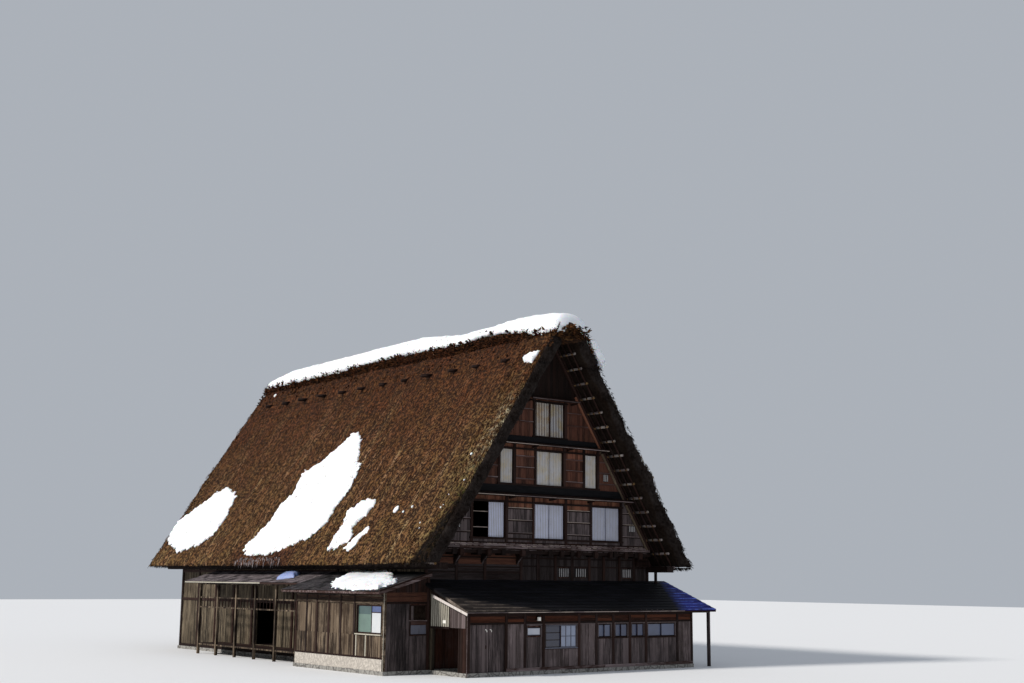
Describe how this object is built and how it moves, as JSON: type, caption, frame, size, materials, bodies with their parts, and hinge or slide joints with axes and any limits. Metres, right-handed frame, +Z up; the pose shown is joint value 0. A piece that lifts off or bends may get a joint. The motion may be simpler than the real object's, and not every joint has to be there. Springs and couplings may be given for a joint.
{
  "type": "gassho farmhouse",
  "caption": "Steep thatched farmhouse with tall windowed gables, attic floors, a front annex with sliding board doors, and a side wing with a veranda.",
  "frame": {"origin": "on the ground under the middle of the front wall, on the underside of the foundation", "axes": "+Z up, +X to the right along the front, +Y back along the ridge"},
  "size_m": [15.702, 26.1, 14.72],
  "materials": {
    "timber": "dark weathered timber",
    "boards": "weathered vertical boards",
    "door_boards": "grey-brown weathered boards",
    "thatch": "rough cut reed",
    "paper_screens": "matt paper on wooden bars",
    "window_glass": "frosted glass in wooden frames",
    "vent_panel": "matt grey",
    "metal_roofing": "dark painted sheet, slightly glossy",
    "shingles": "grey weathered shingles",
    "stone": "rough stone",
    "snow": "settled snow"
  },
  "bodies": {
    "house": {"foundation": "stone", "ground_floor": "timber", "front_wall": "boards", "back_wall": "boards", "left_wall": "boards", "right_wall": "boards", "right_windows": "window_glass", "back_low_windows": "window_glass", "eave_beam_left": "timber", "eave_beam_right": "timber", "attic_floor_1": "timber", "attic_floor_2": "timber", "attic_floor_3": "timber", "front_gable_wall": "boards", "front_windows_1": "paper_screens", "front_ledge_1": "timber", "front_windows_2": "paper_screens", "front_ledge_2": "timber", "front_windows_3": "paper_screens", "front_ledge_3": "timber", "back_gable_wall": "boards", "back_windows_1": "paper_screens", "back_ledge_1": "timber", "back_windows_2": "paper_screens", "back_ledge_2": "timber", "back_windows_3": "paper_screens", "back_ledge_3": "timber", "rafter_frame_1": "timber", "rafter_frame_2": "timber", "rafter_frame_3": "timber", "rafter_frame_4": "timber", "rafter_frame_5": "timber", "rafter_frame_6": "timber", "roof_lattice_left": "timber", "roof_snow_large": "snow", "roof_snow_small": "snow", "roof_snow_far": "snow", "roof_lattice_right": "timber", "thatch_left": "thatch", "thatch_right": "thatch", "ridge_cap": "thatch", "ridge_snow": "snow", "annex_roof": "metal_roofing", "annex_front_wall": "boards", "annex_door_head": "boards", "annex_left_wall": "boards", "annex_right_wall": "boards", "porch_post": "timber", "annex_windows": "window_glass", "wing_roof": "shingles", "wing_snow": "snow", "wing_front_wall": "boards", "wing_long_wall": "boards", "wing_back_wall": "boards", "veranda": "timber", "wing_window": "window_glass", "wing_vent": "vent_panel"},
    "door_left": {"door_left": "door_boards"},
    "door_right": {"door_right": "door_boards"}
  },
  "joints": [
    {"name": "door_left_slide", "type": "slide", "parent": "house", "child": "door_left", "axis": [1, 0, 0], "range_m": [0, 0.8]},
    {"name": "door_right_slide", "type": "slide", "parent": "house", "child": "door_right", "axis": [-1, 0, 0], "range_m": [0, 0.8]}
  ]
}
